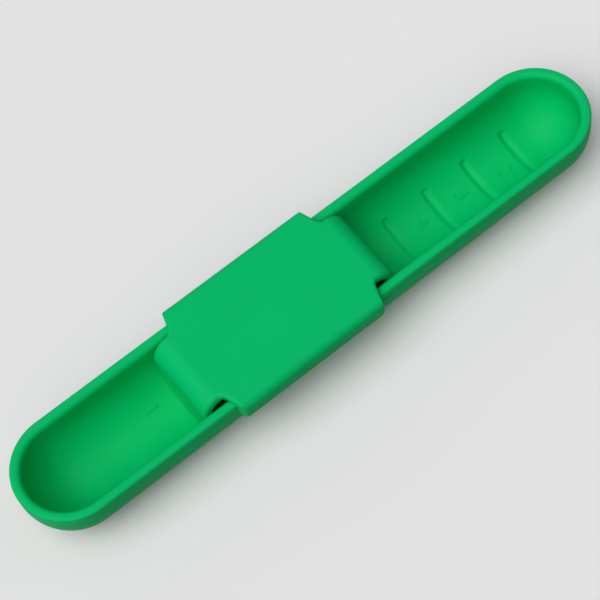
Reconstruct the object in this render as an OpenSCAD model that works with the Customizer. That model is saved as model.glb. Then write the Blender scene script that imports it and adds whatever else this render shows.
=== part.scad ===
// Adjustable double-ended measuring spoon: a half-pipe trough with a bowl at each end,
// and a saddle that slides along its rims. The saddle's two dams close the bowls off,
// so its place sets how much each bowl holds.
// Millimetres. X runs along the trough, Z is up, the flat under the trough is at z = 0
// and the origin is under the trough's middle.

/* [Trough] */
// Overall length of the trough
trough_length = 205; // [190:1:220]
// Overall width across the rims
trough_width = 33.9; // [33.4:0.1:34.4]
// Height of the rims above the table
rim_height = 20.9; // [20.7:0.1:21.2]
// Depth of the straight outer sides, from the rims down to where the round begins
side_depth = 4.5; // [4.3:0.1:4.7]
// Thickness of the side walls
wall = 3.3; // [3:0.1:3.5]
// Thickness of the round underside, which a flat foot then thins along the middle
floor_wall = 1.8; // [1.6:0.1:2]
// Rounding of the rim on its outer edge
rim_out_r = 0.9; // [0.6:0.1:1.1]
// Rounding of the rim on its inner edge
rim_in_r = 1.7; // [1.2:0.1:1.8]

/* [Scale] */
// Number of scale marks in the right-hand bowl
mark_count = 4; // [1:1:5]
// Place of the mark that is nearest to the end of the trough
last_mark_x = 80.4; // [76:0.1:82]
// Distance from one mark to the next
mark_pitch = 15.3; // [12:0.1:15.5]
// Width of a mark along the trough
mark_width = 2.4; // [1.2:0.1:3]
// How far a mark is sunk into the floor
mark_depth = 0.35; // [0.2:0.05:0.5]
// Half of the angle that a mark covers round the floor
mark_half_angle = 46; // [30:1:50]

/* [Saddle] */
// Place of the saddle's middle along the trough
saddle_x = -12.9; // [-40:0.1:40]
// Overall width across the saddle's skirts
saddle_width = 40.6; // [40.2:0.1:42]
// Length of the skirts that hold the rims from outside
skirt_length = 50; // [46:1:54]
// Length of the top where it is as narrow as the dams
shoulder_length = 54.8; // [52:0.1:55]
// Rounding of the top's outer corners, seen from above
corner_r = 1.1; // [0.8:0.1:2]
// Fillet where the top's slanting ends meet the dams' tongues, seen from above
fillet_r = 1.2; // [0.6:0.1:1.2]
// Length over the outer faces of the two dams
dam_span = 69.4; // [69:0.1:70.4]
// Height of the saddle's top above the rims
top_rise = 2.6; // [2.4:0.1:3]
// Thickness of the top where it lies over the rims
sheet = 2.2; // [1.8:0.1:2.2]
// Thickness of the dams, and of the top between the walls
dam_sheet = 3; // [2.2:0.1:3]
// How far the skirts reach below the rims
skirt_drop = 4.1; // [3.8:0.05:4.1]
// Radius of the saddle's long top edges
edge_radius = 2.7; // [2:0.1:3]
// Outer radius of the bend from the top into each dam
bend_radius = 6.4; // [5:0.1:6.4]

/* [Guide and clearances] */
// Half of the length of the groove in each side of the trough
groove_half_length = 63.9; // [60:0.1:66]
// Depth of the guide groove
groove_depth = 0.8; // [0.6:0.05:0.9]
// Height of the guide groove
groove_height = 1.3; // [1.2:0.1:1.5]
// Length of the bead on each skirt that runs in the groove
bead_length = 33.2; // [30:0.1:36]
// Height of the bead
bead_height = 0.7; // [0.6:0.05:0.75]
// Gap between saddle and trough
gap = 0.3; // [0.25:0.05:0.35]

/* [Hidden] */
$fn = 96;
plastic = [0, 0.69, 0.37];

outer_r = trough_width / 2;
inner_r = outer_r - wall;
axis_z = rim_height - side_depth;          // height of the round underside's axis
floor_z = axis_z - outer_r + floor_wall;   // lowest line of the floor
floor_axis_z = floor_z + inner_r;          // height of the round floor's axis
end_x = trough_length / 2 - outer_r;       // where the straight stretch meets a round end
top_z = rim_height + top_rise;
skirt_z = rim_height - skirt_drop;         // underside of the skirts
bead_mid_z = skirt_z + bead_height / 2;    // the bead sits at the foot of the skirt
dam_r = inner_r - gap;                     // the dams follow the floor at this radius
skirt_in = outer_r + gap;
bead_in = outer_r - groove_depth + gap;
plate_z = top_z - sheet;                   // underside of the top over the rims
tall = 60;                                 // taller than any solid here

// Half of the section of a half-pipe, r wide, from its round bottom up to z_top
module half_pipe_half(r, z_axis, z_top) {
    translate([0, z_axis])
        intersection() {
            circle(r);
            translate([0, -r]) square([r, r]);
        }
    translate([0, z_axis]) square([r, z_top - z_axis]);
}

// The top of one wall in section, rounded on both edges, from z_low up
module rim_section(z_low) {
    flat = wall - rim_in_r - rim_out_r;
    translate([inner_r + rim_in_r, z_low]) {
        intersection() {
            circle(rim_in_r);
            translate([-rim_in_r, 0]) square(rim_in_r);
        }
        square([flat, rim_in_r]);
        square([flat + rim_out_r, rim_in_r - rim_out_r]);
        translate([flat, rim_in_r - rim_out_r]) circle(rim_out_r);
    }
}

// One wall of the trough in section: round floor, straight side, rounded rim and flat foot
module wall_section() {
    rim_low = rim_height - rim_in_r;
    difference() {
        intersection() {
            half_pipe_half(outer_r, axis_z, rim_low);
            square([outer_r, tall]);
        }
        half_pipe_half(inner_r, floor_axis_z, tall);
    }
    rim_section(rim_low);
}

module section_along_x(length) {
    rotate([90, 0, 90]) linear_extrude(length, center = true) children();
}

// The groove that a skirt's bead runs in, on one side
module guide_groove() {
    translate([-groove_half_length, outer_r - groove_depth, bead_mid_z - groove_height / 2])
        cube([2 * groove_half_length, 2 * groove_depth, groove_height]);
}

// A shallow mark round the floor at the given place
module scale_mark(x) {
    mark_r = inner_r + mark_depth;
    mark_top = floor_axis_z - mark_r * cos(mark_half_angle);
    intersection() {
        translate([x, 0, floor_axis_z]) rotate([0, 90, 0])
            cylinder(r = mark_r, h = mark_width, center = true);
        translate([x - mark_width, -outer_r, 0]) cube([2 * mark_width, 2 * outer_r, mark_top]);
    }
}

module spoon_trough() {
    color(plastic)
    difference() {
        union() {
            for (side = [0, 1]) mirror([0, side, 0])
                section_along_x(2 * end_x) wall_section();
            for (turn = [-90, 90])
                rotate([0, 0, turn]) translate([0, -end_x, 0]) rotate([0, 0, 180])
                    rotate_extrude(angle = 180) wall_section();
        }
        for (side = [0, 1]) mirror([0, side, 0]) guide_groove();
        for (i = [0 : mark_count - 1]) scale_mark(last_mark_x - i * mark_pitch);
    }
}

// A quarter of the top's outline: full width along the skirt, then slanting in to the tongue
module quarter_outline() {
    s = skirt_length / 2;
    n = shoulder_length / 2;
    w = saddle_width / 2;
    slant = atan((n - s) / (w - dam_r));
    c = corner_r / tan(45 + slant / 2);    // from the corner to where its rounding ends
    f = fillet_r / tan(45 + slant / 2);
    difference() {
        polygon([
            [0, 0], [0, w], [s - c, w], [s + c * sin(slant), w - c * cos(slant)],
            [n - f * sin(slant), dam_r + f * cos(slant)], [n + f, dam_r], [n, dam_r], [n, 0]
        ]);
        translate([n + f, dam_r + fillet_r]) circle(fillet_r);
    }
    translate([s - c, w - corner_r]) circle(corner_r);
}

module top_outline() {
    for (x = [0, 1], y = [0, 1]) mirror([x, 0]) mirror([0, y]) quarter_outline();
}

// Section of the top and its skirts across the trough
module top_section() {
    w = saddle_width / 2;
    difference() {
        union() {
            translate([-w, skirt_z]) square([2 * w, top_z - edge_radius - skirt_z]);
            translate([-w + edge_radius, top_z - edge_radius - 1])
                square([2 * (w - edge_radius), edge_radius + 1]);
            for (y = [-1, 1]) translate([y * (w - edge_radius), top_z - edge_radius])
                circle(edge_radius);
        }
        translate([-skirt_in, 0]) square([2 * skirt_in, plate_z]);
    }
}

// The top and both dams in side view, as one bent sheet
module bent_sheet_half() {
    x = dam_span / 2;
    bend_x = x - bend_radius;
    bend_z = top_z - bend_radius;
    square([bend_x, top_z]);
    translate([bend_x, 0]) square([bend_radius, bend_z]);
    translate([bend_x, bend_z]) circle(bend_radius);
}

module bent_sheet_hollow() {
    x = dam_span / 2 - dam_sheet;
    z = top_z - dam_sheet;
    r = bend_radius - dam_sheet;
    square([x - r, z]);
    square([x, z - r]);
    translate([x - r, z - r]) circle(r);
}

module bent_sheet() {
    rotate([90, 0, 0]) linear_extrude(tall, center = true)
        for (side = [0, 1]) mirror([side, 0])
            difference() {
                bent_sheet_half();
                bent_sheet_hollow();
            }
}

// What of the bent sheet there is room for between the walls
module dam_room() {
    section_along_x(dam_span + 2)
        for (side = [0, 1]) mirror([side, 0]) half_pipe_half(dam_r, floor_axis_z, tall);
}

module bead() {
    translate([-bead_length / 2, bead_in, skirt_z])
        cube([bead_length, skirt_in - bead_in + 0.5, bead_height]);
}

module measuring_saddle() {
    color(plastic)
    translate([saddle_x, 0, 0]) {
        intersection() {
            section_along_x(2 * dam_span) top_section();
            linear_extrude(tall) top_outline();
        }
        intersection() {
            bent_sheet();
            dam_room();
        }
        for (side = [0, 1]) mirror([0, side, 0]) bead();
    }
}

spoon_trough();
measuring_saddle();
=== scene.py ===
"""Adjustable double-ended measuring spoon in green moulded plastic, on a pale table.

Lengths below are in millimetres and become metres where meshes are made.
X runs along the trough, and the trough's flat foot is at z = 0.
A point of the trough's section is (q, z), q being its distance from the middle plane.
"""

import math

import bmesh
import bpy
import numpy as np
from mathutils import Matrix, Vector


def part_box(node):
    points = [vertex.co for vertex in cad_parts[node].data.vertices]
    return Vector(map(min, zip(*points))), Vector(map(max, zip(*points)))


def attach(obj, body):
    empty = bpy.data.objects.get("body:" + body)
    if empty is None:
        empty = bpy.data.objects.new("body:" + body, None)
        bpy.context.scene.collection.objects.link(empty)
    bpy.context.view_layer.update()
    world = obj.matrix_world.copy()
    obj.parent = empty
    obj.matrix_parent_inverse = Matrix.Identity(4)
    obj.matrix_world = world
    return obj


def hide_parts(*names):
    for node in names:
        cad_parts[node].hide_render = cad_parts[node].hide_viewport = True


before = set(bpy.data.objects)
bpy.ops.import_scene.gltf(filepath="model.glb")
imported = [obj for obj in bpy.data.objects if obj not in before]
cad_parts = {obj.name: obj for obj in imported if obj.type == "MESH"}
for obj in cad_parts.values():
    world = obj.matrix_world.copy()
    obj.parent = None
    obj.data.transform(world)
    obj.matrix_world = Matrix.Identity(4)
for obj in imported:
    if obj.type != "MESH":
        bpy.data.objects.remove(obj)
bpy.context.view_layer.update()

MM = 0.001

# The trough's section
WALL = 3.3
FLOOR_WALL = 1.8
SIDE_DEPTH = 4.5  # depth of the straight outer sides below the rims
RIM_OUT_R = 0.9
RIM_IN_R = 1.7
FOOT_SHARES = (0, 0.35, 0.7, 0.97)  # places across half of the flat foot
FOOT_EDGE_TURN = 0.6  # degrees of the round side left out, which softens the foot's edge

# The trough's cross-sections
STRAIGHT_STATIONS = 90
END_STATIONS = 73  # round each end
MARK_STATIONS = 29
GROOVE_END_STATIONS = 9
LEAST_SPACING = 0.08
MARK_MARGIN = 0.3  # how far the close stations reach past a mark or a groove's run-out
GROOVE_END_MARGIN = 0.2  # how far they reach past a groove's end

# Points of the section
UNDERSIDE_POINTS = 34
GROOVE_POINTS = 15
GROOVE_MARGIN = 0.05  # plain strip above and below the groove
RIM_OUT_POINTS = 9
RIM_IN_POINTS = 13
INNER_SIDE_POINTS = 7
FLOOR_POINTS = 91
TOUCH = 0.01  # how near to a surface counts as on it

# The scale in the right-hand bowl
MARK_COUNT = 4
LAST_MARK_X = 80.4
MARK_PITCH = 15.3
MARKS_X = [LAST_MARK_X - i * MARK_PITCH for i in range(MARK_COUNT)]
MARK_WIDTH = 3.6
MARK_DEPTH = 0.62
MARK_END_EXTRA = 0.4  # how much deeper a mark is towards its ends
MARK_DEEPENS_FROM = 20.0  # degrees round from the middle of the floor
MARK_DEEPENS_OVER = 20.0
MARK_HALF_ANGLE = 46.0
MARK_END = 5.0  # degrees over which a mark runs out

# The guide groove in the trough's sides and the saddle's beads in it
GROOVE_Z = 17.15
GROOVE_HEIGHT = 1.3
GROOVE_DEPTH = 0.45
GROOVE_HALF_LENGTH = 63.9
GROOVE_RUN_OUT = 1.0  # length over which a groove's end runs out
GROOVE_FLATNESS = 1.6  # 1 makes a cosine section, more makes its bottom flatter
BEAD_HALF_LENGTH = 16.6
BEAD_R = 0.33
BEAD_REACH = 0.6  # how far a bead stands out from its skirt
BEAD_ROOT = 0.1  # how far a bead's middle lies inside its skirt
BEAD_BACK = 0.2  # how far a bead reaches back from its middle
BEAD_TIP = 0.05  # a bead's share of its full size at its two tips
BEAD_STATIONS = 41
BEAD_SIDES = 12

# The saddle
GAP = 0.3
SHEET = 2.2  # thickness of the top over the rims
DAM_SHEET = 3.0
SKIRT_HALF = 25.0
SHOULDER_HALF = 27.4
SKIRT_DROP = 4.1
DAM_HALF = 34.7
BEND_R = 6.4
LONG_EDGE_R = 2.7
END_EDGE_R = 1.0
CORNER_R = 1.1
FILLET_R = 1.2
TONGUE_EDGE_R = 1.4
TONGUE_INSET = 0.6  # how much further in a dam's side is at the top than at the floor
TAPER_HEIGHT = 4.0  # height over which a dam's side moves in
DAM_EDGE_R = 0.35
DAM_EDGE_BLEND = 8.0  # height over which a dam's edge turns into the rounder tongue's
INNER_EDGE_R = 0.3

# The net of cells that the saddle's surface is made from
CELL = 0.3
NET_MARGIN = np.array([1.03, 1.07, 0.93])  # uneven, so that no flat face lies on the grid
SETTLE_PASSES = 8
SLOPE_STEP = 0.02
LEAST_STEEPNESS = 0.2

# Numerals: each is one stroke in a box 1 high and 0.6 wide
DIGITS = {
    "1": [(0.12, 0.78), (0.34, 1.0), (0.34, 0.0)],
    "2": [
        (0.04, 0.76), (0.1, 0.92), (0.28, 1.0), (0.47, 0.93), (0.54, 0.75),
        (0.46, 0.55), (0.24, 0.3), (0.04, 0.0), (0.56, 0.0),
    ],
    "3": [
        (0.05, 0.88), (0.2, 1.0), (0.42, 0.97), (0.52, 0.8), (0.44, 0.6), (0.24, 0.54),
        (0.46, 0.47), (0.56, 0.28), (0.46, 0.06), (0.22, 0.0), (0.04, 0.11),
    ],
    "4": [(0.42, 0.0), (0.42, 1.0), (0.02, 0.3), (0.58, 0.3)],
}
DIGIT_HEIGHT = 4.6
STROKE_R = 0.3
STROKE_RISE = 0.75  # a stroke's height above the floor, as a share of its radius
STROKE_TIP = 0.35  # a stroke's share of its full size at its two tips
STROKE_STEP = 0.25
STROKE_SIDES = 8
# From a mark to the foot of its numeral, and where the three numerals start round the floor
NUMERAL_OFFSET = 6.3
NUMERAL_STARTS = {"4": 3.8, "3": 3.8, "2": 1.4}
LEFT_NUMERAL_X = -58.4
LEFT_NUMERAL_START = 8.0

# Looks
GREEN = (0.0, 0.58, 0.163)
CLOUDING = 0.035  # how much the colour varies either way
TABLE_HALF = 1500.0

# The camera, on the near side and a little to the left of the spoon
AZIMUTH = 24.38  # degrees round from straight in front, towards the left
ELEVATION = 62.55
ROLL = 14.99
DISTANCE = 532.8
LENS = 111.377
AIM_X = -4.86  # the point looked at, which lies at the height of the rims
AIM_Y = -2.54


def node_box_mm(name):
    """The lowest and highest corner of a CAD node's box, in millimetres."""
    low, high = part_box(name)
    return np.array(low) / MM, np.array(high) / MM


# Sizes that follow from the frame and from the values above
TROUGH_HIGH = node_box_mm("spoon_trough")[1]
SADDLE_LOW, SADDLE_HIGH = node_box_mm("measuring_saddle")
OUTER_R = TROUGH_HIGH[1]
INNER_R = OUTER_R - WALL
RIM_Z = TROUGH_HIGH[2]
AXIS_Z = RIM_Z - SIDE_DEPTH  # height of the round underside's axis
FLOOR_Z = AXIS_Z - OUTER_R + FLOOR_WALL
FLOOR_AXIS_Z = FLOOR_Z + INNER_R  # height of the round floor's axis
END_X = TROUGH_HIGH[0] - OUTER_R  # where the straight stretch meets a round end
TOP_Z = SADDLE_HIGH[2]
SADDLE_X = (SADDLE_LOW[0] + SADDLE_HIGH[0]) / 2
SADDLE_HALF_WIDTH = SADDLE_HIGH[1]
SKIRT_Y = OUTER_R + GAP  # inner face of a skirt
DAM_R = INNER_R - GAP
TONGUE_HALF = DAM_R - TONGUE_INSET


# ---------------------------------------------------------------- helpers


def smooth_step(t):
    """From 0 to 1 as t goes from 0 to 1, level at both ends."""
    t = np.clip(t, 0.0, 1.0)
    return t * t * (3 - 2 * t)


def link_mesh(name, verts_mm, faces, smooth=True):
    """A new object from vertices in millimetres, with shared vertices joined into one."""
    mesh = bpy.data.meshes.new(name)
    mesh.from_pydata((np.asarray(verts_mm) * MM).tolist(), [], faces)
    mesh.validate()
    bm = bmesh.new()
    bm.from_mesh(mesh)
    bmesh.ops.remove_doubles(bm, verts=bm.verts, dist=0.001 * MM)
    bmesh.ops.dissolve_degenerate(bm, edges=bm.edges, dist=0.0001 * MM)
    bmesh.ops.recalc_face_normals(bm, faces=bm.faces)
    bm.to_mesh(mesh)
    bm.free()
    for face in mesh.polygons:
        face.use_smooth = smooth
    obj = bpy.data.objects.new(name, mesh)
    bpy.context.scene.collection.objects.link(obj)
    return obj


def tube_faces(rings, sides):
    """Faces of a tube of the given number of rings, closed at both ends."""
    faces = []
    for i in range(rings - 1):
        for k in range(sides):
            a = i * sides + k
            b = i * sides + (k + 1) % sides
            faces.append((a, b, b + sides, a + sides))
    last = (rings - 1) * sides
    faces.append(tuple(range(sides)))
    faces.append(tuple(last + k for k in reversed(range(sides))))
    return faces


# ---------------------------------------------------------------- trough


def arc(centre_q, centre_z, r, start, end, points):
    """Points on an arc, angles in degrees from the downward direction towards +q."""
    a = np.radians(np.linspace(start, end, points))
    return np.column_stack([centre_q + r * np.sin(a), centre_z - r * np.cos(a)])


def wall_profile():
    """One wall in section, from under the foot round the rim to the middle of the floor."""
    foot_angle = math.degrees(math.acos(AXIS_Z / OUTER_R))
    foot_half = OUTER_R * math.sin(math.radians(foot_angle))
    groove_reach = GROOVE_HEIGHT / 2 + GROOVE_MARGIN
    groove_foot = GROOVE_Z - groove_reach
    groove_top = GROOVE_Z + groove_reach
    rim_out_z = RIM_Z - RIM_OUT_R
    rim_in_z = RIM_Z - RIM_IN_R
    parts = [
        [[foot_half * share, 0] for share in FOOT_SHARES],
        arc(0, AXIS_Z, OUTER_R, foot_angle + FOOT_EDGE_TURN, 90, UNDERSIDE_POINTS),
        [[OUTER_R, z] for z in np.linspace(groove_foot, groove_top, GROOVE_POINTS)],
        [[OUTER_R, (groove_top + rim_out_z) / 2]],
        arc(OUTER_R - RIM_OUT_R, rim_out_z, RIM_OUT_R, 90, 180, RIM_OUT_POINTS),
        arc(INNER_R + RIM_IN_R, rim_in_z, RIM_IN_R, 180, 270, RIM_IN_POINTS),
        [[INNER_R, z] for z in np.linspace(rim_in_z, FLOOR_AXIS_Z, INNER_SIDE_POINTS)[1:-1]],
        arc(0, FLOOR_AXIS_Z, INNER_R, 90, 0, FLOOR_POINTS),
    ]
    return np.array([point for part in parts for point in part])


def mark_sink(x, angle):
    """How deep the scale marks sink the floor at x, for each angle round the floor."""
    sink = np.zeros_like(angle)
    run_out = smooth_step((MARK_HALF_ANGLE - angle) / MARK_END)
    deepening = smooth_step((angle - MARK_DEEPENS_FROM) / MARK_DEEPENS_OVER)
    depth = MARK_DEPTH + MARK_END_EXTRA * deepening
    for mark_x in MARKS_X:
        t = abs(x - mark_x) / (MARK_WIDTH / 2)
        if t < 1:
            sink += depth * (0.5 + 0.5 * math.cos(math.pi * t)) * run_out
    return sink


def groove_sink(x, z):
    """How deep the guide groove sinks the trough's side at x, for each height z."""
    along = smooth_step((GROOVE_HALF_LENGTH - abs(x)) / GROOVE_RUN_OUT)
    t = np.clip(np.abs(z - GROOVE_Z) / (GROOVE_HEIGHT / 2), 0, 1)
    across = 0.5 + 0.5 * np.cos(math.pi * t**GROOVE_FLATNESS)
    return GROOVE_DEPTH * along * across


def station_places():
    """Places along the straight stretch, close together where something is cut in."""
    mark_reach = MARK_WIDTH / 2 + MARK_MARGIN
    places = set(np.round(np.linspace(-END_X, END_X, STRAIGHT_STATIONS), 3))
    for mark_x in MARKS_X:
        places |= set(np.round(mark_x + np.linspace(-mark_reach, mark_reach, MARK_STATIONS), 3))
    inwards = np.linspace(-GROOVE_END_MARGIN, GROOVE_RUN_OUT + MARK_MARGIN, GROOVE_END_STATIONS)
    for side in (-1, 1):
        places |= set(np.round(side * (GROOVE_HALF_LENGTH - inwards), 3))
    places = sorted(places)
    kept = [places[0]]
    for x in places[1:]:
        if x - kept[-1] > LEAST_SPACING:
            kept.append(x)
    kept[-1] = END_X
    return kept


def trough_stations():
    """Where the wall's section stands: x, the direction it faces, and if it's on the straight."""
    straight = station_places()
    turn = np.radians(np.linspace(0, 180, END_STATIONS))[1:-1]
    stations = [(x, 0.0, 1.0, True) for x in straight]
    stations += [(END_X, math.sin(a), math.cos(a), False) for a in turn]
    stations += [(x, 0.0, -1.0, True) for x in reversed(straight)]
    stations += [(-END_X, -math.sin(a), -math.cos(a), False) for a in turn]
    return stations


def sunk_section(profile, x):
    """The wall's section at x, with the marks and the groove sunk into it."""
    q, z = profile.T
    on_floor = (z < FLOOR_AXIS_Z) & (np.hypot(q, z - FLOOR_AXIS_Z) < INNER_R + TOUCH)
    on_side = q > OUTER_R - TOUCH
    angle = np.arctan2(q, FLOOR_AXIS_Z - z)
    mark = np.where(on_floor, mark_sink(x, np.degrees(angle)), 0.0)
    groove = np.where(on_side, groove_sink(x, z), 0.0)
    return q + mark * np.sin(angle) - groove, z - mark * np.cos(angle)


def trough_mesh():
    """The wall's section carried round the trough's outline."""
    profile = wall_profile()
    stations = trough_stations()
    rows = []
    for x, facing_x, facing_y, straight in stations:
        q, z = sunk_section(profile, x) if straight else profile.T
        rows.append(np.column_stack([x + q * facing_x, q * facing_y, z]))
    points = len(profile)
    faces = []
    for i in range(len(stations)):
        here = i * points
        after = (i + 1) % len(stations) * points
        for k in range(points - 1):
            faces.append((here + k, after + k, after + k + 1, here + k + 1))
    return link_mesh("trough_body", np.concatenate(rows), faces)


# ---------------------------------------------------------------- numerals


def on_floor(x, s, lift):
    """A point lifted off the trough's floor, s millimetres round from its middle line."""
    a = s / INNER_R
    r = INNER_R - lift
    return np.array([x, r * math.sin(a), FLOOR_AXIS_Z - r * math.cos(a)])


def stroke_path(corners):
    """Close points along a numeral's stroke, with its corners softened."""
    corners = np.array(corners) * DIGIT_HEIGHT
    path = []
    for a, b in zip(corners[:-1], corners[1:]):
        steps = max(2, int(np.linalg.norm(b - a) / STROKE_STEP))
        path += [a + (b - a) * t / steps for t in range(steps)]
    path.append(corners[-1])
    path = np.array(path)
    for _ in range(2):
        path[1:-1] = 0.5 * path[1:-1] + 0.25 * (path[:-2] + path[2:])
    return path


def numeral(digit, x0, s0):
    """A numeral moulded on the floor, reading towards -Y with its top towards +X."""
    path = stroke_path(DIGITS[digit])
    tangents = np.gradient(path, axis=0)
    tangents /= np.linalg.norm(tangents, axis=1)[:, None]
    verts = []
    for i, (middle, tangent) in enumerate(zip(path, tangents)):
        side = np.array([-tangent[1], tangent[0]])
        r = STROKE_R * (STROKE_TIP if i in (0, len(path) - 1) else 1.0)
        for a in np.radians(np.linspace(0, 360, STROKE_SIDES, endpoint=False)):
            place = middle + side * r * math.cos(a)
            verts.append(on_floor(x0 + place[1], s0 - place[0], STROKE_RISE * r * math.sin(a)))
    return link_mesh("numeral_" + digit, verts, tube_faces(len(path), STROKE_SIDES))


# ---------------------------------------------------------------- saddle

# A solid is a field that is negative inside it and close to the distance near its surface.
# The saddle is worked out about its own middle, and x and y are taken without their signs.


def round_and(a, b, r):
    """What both solids share, with the edge between them rounded by r."""
    u, v = np.maximum(a + r, 0), np.maximum(b + r, 0)
    return np.minimum(np.maximum(a, b), -r) + np.hypot(u, v)


def round_or(a, b, r):
    """Both solids together, with a fillet of r where they meet."""
    u, v = np.maximum(r - a, 0), np.maximum(r - b, 0)
    return np.maximum(np.minimum(a, b), r) - np.hypot(u, v)


def top_and_skirts(x, y, z):
    """The top with its slanting ends and rounded edges, and the skirts outside the rims."""
    slant = math.atan2(SHOULDER_HALF - SKIRT_HALF, SADDLE_HALF_WIDTH - TONGUE_HALF)
    fillet_end = SHOULDER_HALF + FILLET_R / math.tan(math.pi / 4 + slant / 2)
    long_side = y - SADDLE_HALF_WIDTH
    slanting_end = (x - SKIRT_HALF) * math.cos(slant) + long_side * math.sin(slant)
    outline = round_and(long_side, slanting_end, CORNER_R)
    plan = np.maximum(round_or(outline, y - TONGUE_HALF, FILLET_R), x - fillet_end)
    # Past its fillets the top is no wider than the tongue
    plan = np.where(x > fillet_end, np.maximum(plan, y - TONGUE_HALF), plan)
    long_edge = round_and(long_side, z - TOP_Z, LONG_EDGE_R)
    solid = np.maximum(long_edge, round_and(plan, z - TOP_Z, END_EDGE_R))
    solid = round_and(solid, (RIM_Z - SKIRT_DROP) - z, INNER_EDGE_R)
    hollow = np.maximum(y - SKIRT_Y, z - (TOP_Z - SHEET))
    return round_and(solid, -hollow, INNER_EDGE_R)


def bent_dams(x, y, z):
    """The sheet that bends down at both ends of the top into the dams."""
    bend_out = round_and(x - DAM_HALF, z - TOP_Z, BEND_R)
    bend_in = round_and(x - (DAM_HALF - DAM_SHEET), z - (TOP_Z - DAM_SHEET), BEND_R - DAM_SHEET)
    taper = TONGUE_INSET * smooth_step((z - FLOOR_AXIS_Z) / TAPER_HEIGHT)
    above_floor = np.hypot(y, z - FLOOR_AXIS_Z) - DAM_R
    room = np.where(z > FLOOR_AXIS_Z, y - DAM_R + taper, above_floor)
    roundness = smooth_step((z - AXIS_Z) / DAM_EDGE_BLEND + 0.5)
    edge_r = DAM_EDGE_R + (TONGUE_EDGE_R - DAM_EDGE_R) * roundness
    return round_and(round_and(bend_out, room, edge_r), -bend_in, INNER_EDGE_R)


def saddle_field(points):
    """The whole saddle's field at each point."""
    x, y, z = np.abs(points[:, 0]), np.abs(points[:, 1]), points[:, 2]
    return np.minimum(top_and_skirts(x, y, z), bent_dams(x, y, z))


def field_slope(field, points):
    """The field's gradient at each point."""
    slope = np.empty_like(points)
    for k in range(3):
        step = np.zeros(3)
        step[k] = SLOPE_STEP
        slope[:, k] = (field(points + step) - field(points - step)) / (2 * SLOPE_STEP)
    return slope


def settled(field, points):
    """The points moved onto the field's zero level, by at most half a cell in a pass."""
    for _ in range(SETTLE_PASSES):
        slope = field_slope(field, points)
        steepness = np.maximum(np.sum(slope * slope, 1), LEAST_STEEPNESS)
        move = -(field(points) / steepness)[:, None] * slope
        points = points + np.clip(move, -0.5 * CELL, 0.5 * CELL)
    return points


def corners_inside(inside):
    """How many of each cell's eight corners are inside the solid."""
    nx, ny, nz = inside.shape
    count = np.zeros((nx - 1, ny - 1, nz - 1), int)
    for dx, dy, dz in np.ndindex(2, 2, 2):
        count += inside[dx : nx - 1 + dx, dy : ny - 1 + dy, dz : nz - 1 + dz]
    return count


def net_faces(inside, cell_number):
    """A quad between the four cells round each line of the grid that meets the surface."""
    faces = []
    for axis in range(3):
        a, b = [k for k in range(3) if k != axis]
        lower = [slice(None)] * 3
        upper = [slice(None)] * 3
        lower[axis] = slice(0, -1)
        upper[axis] = slice(1, None)
        crossings = np.argwhere(inside[tuple(lower)] != inside[tuple(upper)])
        corners = []
        for da, db in ((-1, -1), (0, -1), (0, 0), (-1, 0)):
            cells = crossings.copy()
            cells[:, a] += da
            cells[:, b] += db
            corners.append(cell_number[tuple(cells.T)])
        faces += np.stack(corners, 1).tolist()
    return faces


def surface_net(field, low, high):
    """Vertices and quads of the field's zero level inside the box from low to high."""
    counts = np.ceil((high - low) / CELL).astype(int) + 1
    axes = [start + np.arange(count) * CELL for start, count in zip(low, counts)]
    grid = np.stack(np.meshgrid(*axes, indexing="ij"), -1).reshape(-1, 3)
    inside = (field(grid) < 0).reshape(counts)
    corners = corners_inside(inside)
    crossed = (corners > 0) & (corners < 8)
    cell_number = np.full(crossed.shape, -1)
    cell_number[crossed] = np.arange(crossed.sum())
    middles = low + (np.argwhere(crossed) + 0.5) * CELL
    return settled(field, middles), net_faces(inside, cell_number)


def saddle_mesh():
    """The saddle's surface, moved to its place along the trough."""
    low = np.array([-DAM_HALF, -SADDLE_HALF_WIDTH, FLOOR_Z]) - NET_MARGIN
    high = np.array([DAM_HALF, SADDLE_HALF_WIDTH, TOP_Z]) + NET_MARGIN
    verts, faces = surface_net(saddle_field, low, high)
    return link_mesh("saddle_body", verts + np.array([SADDLE_X, 0, 0]), faces)


def bead_mesh(name, side):
    """A bead along the inner face of one skirt, drawn in at both tips."""
    places = np.linspace(-BEAD_HALF_LENGTH, BEAD_HALF_LENGTH, BEAD_STATIONS)
    verts = []
    for i, x in enumerate(places):
        size = BEAD_TIP if i in (0, BEAD_STATIONS - 1) else 1.0
        for a in np.radians(np.linspace(0, 360, BEAD_SIDES, endpoint=False)):
            outwards = math.cos(a)
            reach = (BEAD_ROOT + BEAD_REACH) * size if outwards > 0 else BEAD_BACK
            y = SKIRT_Y + BEAD_ROOT - reach * outwards
            verts.append((SADDLE_X + x, side * y, GROOVE_Z + BEAD_R * size * math.sin(a)))
    return link_mesh(name, verts, tube_faces(BEAD_STATIONS, BEAD_SIDES))


# ---------------------------------------------------------------- materials


def noise(mat, scale, detail, roughness=0.5, squeeze=(1, 1, 1)):
    """Noise fixed to the object, scale in cells a metre, times squeeze along each axis."""
    nodes, links = mat.node_tree.nodes, mat.node_tree.links
    coords = nodes.new("ShaderNodeTexCoord")
    mapping = nodes.new("ShaderNodeMapping")
    mapping.inputs["Scale"].default_value = squeeze
    texture = nodes.new("ShaderNodeTexNoise")
    texture.inputs["Scale"].default_value = scale
    texture.inputs["Detail"].default_value = detail
    texture.inputs["Roughness"].default_value = roughness
    links.new(coords.outputs["Object"], mapping.inputs["Vector"])
    links.new(mapping.outputs["Vector"], texture.inputs["Vector"])
    return texture.outputs["Fac"]


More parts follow.
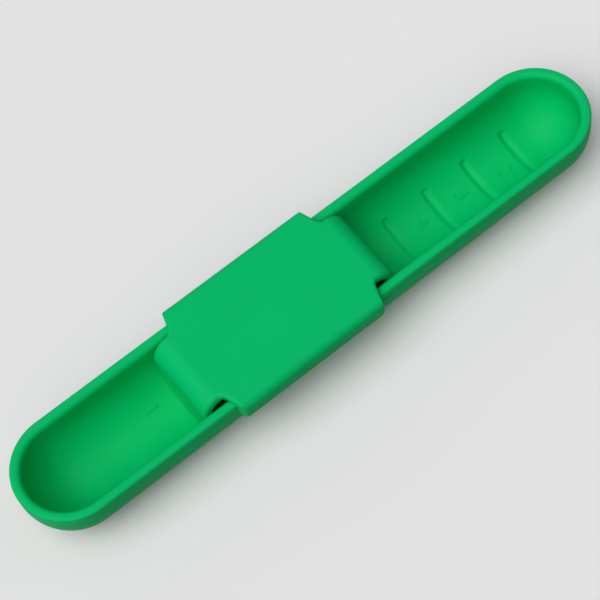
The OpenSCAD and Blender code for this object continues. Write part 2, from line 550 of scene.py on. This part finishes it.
def mixed(mat, a, b, share):
    """Two grey values mixed, with the given share of the second."""
    mix = mat.node_tree.nodes.new("ShaderNodeMix")
    mix.inputs["Factor"].default_value = share
    mat.node_tree.links.new(a, mix.inputs["A"])
    mat.node_tree.links.new(b, mix.inputs["B"])
    return mix.outputs["Result"]


def green_plastic(name, colour):
    """Satin moulded plastic: faint clouds and flow streaks, a fine matt grain, uneven gloss."""
    mat = bpy.data.materials.new(name)
    mat.use_nodes = True
    nodes, links = mat.node_tree.nodes, mat.node_tree.links
    shader = nodes["Principled BSDF"]
    shader.inputs["Specular IOR Level"].default_value = 0.08

    clouds = noise(mat, 55.0, 3.0)
    streaks = noise(mat, 260.0, 3.0, 0.6, squeeze=(0.12, 1, 1))
    tone = nodes.new("ShaderNodeValToRGB")
    dark, light = tone.color_ramp.elements
    dark.position, light.position = 0.3, 0.7
    dark.color = (*[(1 - CLOUDING) * c for c in colour], 1)
    light.color = (*[(1 + CLOUDING) * c for c in colour], 1)
    links.new(mixed(mat, clouds, streaks, 0.35), tone.inputs["Fac"])
    links.new(tone.outputs["Color"], shader.inputs["Base Color"])

    gloss = nodes.new("ShaderNodeMapRange")
    gloss.inputs["To Min"].default_value = 0.44
    gloss.inputs["To Max"].default_value = 0.6
    links.new(noise(mat, 900.0, 4.0, 0.65), gloss.inputs["Value"])
    links.new(gloss.outputs["Result"], shader.inputs["Roughness"])

    bump = nodes.new("ShaderNodeBump")
    bump.inputs["Strength"].default_value = 0.15
    bump.inputs["Distance"].default_value = 0.00005
    links.new(noise(mat, 3600.0, 2.0), bump.inputs["Height"])
    links.new(bump.outputs["Normal"], shader.inputs["Normal"])
    return mat


def table_material():
    """Matt, nearly white, with very faint broad clouds."""
    mat = bpy.data.materials.new("pale_table")
    mat.use_nodes = True
    nodes, links = mat.node_tree.nodes, mat.node_tree.links
    shader = nodes["Principled BSDF"]
    shader.inputs["Roughness"].default_value = 0.9
    shader.inputs["Specular IOR Level"].default_value = 0.0
    clouds = nodes.new("ShaderNodeTexNoise")
    clouds.inputs["Scale"].default_value = 6.0
    tone = nodes.new("ShaderNodeValToRGB")
    dark, light = tone.color_ramp.elements
    dark.color = (0.95, 0.95, 0.95, 1)
    light.color = (0.97, 0.97, 0.97, 1)
    links.new(clouds.outputs["Fac"], tone.inputs["Fac"])
    links.new(tone.outputs["Color"], shader.inputs["Base Color"])
    return mat


# ---------------------------------------------------------------- stage, light, camera


def table_top():
    """A wide, flat table under the spoon's foot."""
    s = TABLE_HALF
    corners = [(-s, -s, 0), (s, -s, 0), (s, s, 0), (-s, s, 0)]
    obj = link_mesh("table", corners, [(0, 1, 2, 3)], smooth=False)
    obj.data.materials.append(table_material())
    obj.visible_diffuse = False  # the table throws no light back up onto the spoon


def sky(strength):
    """An even white light from all sides."""
    world = bpy.data.worlds.new("studio")
    world.use_nodes = True
    background = world.node_tree.nodes["Background"]
    background.inputs["Color"].default_value = (1, 1, 1, 1)
    background.inputs["Strength"].default_value = strength
    bpy.context.scene.world = world


def soft_light(name, bearing, height, strength, spread=50.0):
    """A broad, distant light; bearing is in degrees from +X towards +Y, height above the table."""
    light = bpy.data.lights.new(name, "SUN")
    light.energy = strength
    light.angle = math.radians(spread)
    obj = bpy.data.objects.new(name, light)
    bpy.context.scene.collection.objects.link(obj)
    bearing, height = math.radians(bearing), math.radians(height)
    towards = Vector((
        math.cos(bearing) * math.cos(height),
        math.sin(bearing) * math.cos(height),
        math.sin(height),
    ))
    obj.rotation_euler = towards.to_track_quat("Z", "Y").to_euler()


def camera():
    """Looks down at the spoon from its near side, with the picture rolled about the view."""
    azimuth, elevation, roll = math.radians(AZIMUTH), math.radians(ELEVATION), math.radians(ROLL)
    right = Vector((math.cos(azimuth), -math.sin(azimuth), 0))
    back = Vector((
        -math.sin(azimuth) * math.cos(elevation),
        -math.cos(azimuth) * math.cos(elevation),
        math.sin(elevation),
    ))
    up = back.cross(right)
    rolled_right = math.cos(roll) * right - math.sin(roll) * up
    rolled_up = math.sin(roll) * right + math.cos(roll) * up
    place = (Vector((AIM_X, AIM_Y, RIM_Z)) + back * DISTANCE) * MM
    data = bpy.data.cameras.new("camera")
    data.sensor_width = 36
    data.lens = LENS
    obj = bpy.data.objects.new("camera", data)
    bpy.context.scene.collection.objects.link(obj)
    obj.matrix_world = Matrix((
        (rolled_right.x, rolled_up.x, back.x, place.x),
        (rolled_right.y, rolled_up.y, back.y, place.y),
        (rolled_right.z, rolled_up.z, back.z, place.z),
        (0, 0, 0, 1),
    ))
    bpy.context.scene.camera = obj


# ---------------------------------------------------------------- build

trough_plastic = green_plastic("trough_plastic", GREEN)
saddle_plastic = green_plastic("saddle_plastic", GREEN)

trough = trough_mesh()
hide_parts("spoon_trough")
saddle = saddle_mesh()
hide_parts("measuring_saddle")

trough_pieces = [trough]
for digit, start in NUMERAL_STARTS.items():
    mark_x = MARKS_X[int(digit) - 1]
    trough_pieces.append(numeral(digit, mark_x + NUMERAL_OFFSET, start))
trough_pieces.append(numeral("1", LEFT_NUMERAL_X, LEFT_NUMERAL_START))
saddle_pieces = [saddle, bead_mesh("bead_near", -1), bead_mesh("bead_far", 1)]

for piece in trough_pieces:
    piece.data.materials.append(trough_plastic)
    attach(piece, "trough")
for piece in saddle_pieces:
    piece.data.materials.append(saddle_plastic)
    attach(piece, "saddle")

table_top()
sky(0.12)
soft_light("left_high", 180, 70, 1.09)
soft_light("left", 180, 45, 0.71)
soft_light("near_left", 225, 45, 0.38)
soft_light("near_left_high", 225, 70, 0.19)
soft_light("far_low", 90, 20, 0.18, spread=40.0)
soft_light("right", 0, 45, 0.13)
camera()
bpy.context.scene.view_settings.view_transform = "Standard"
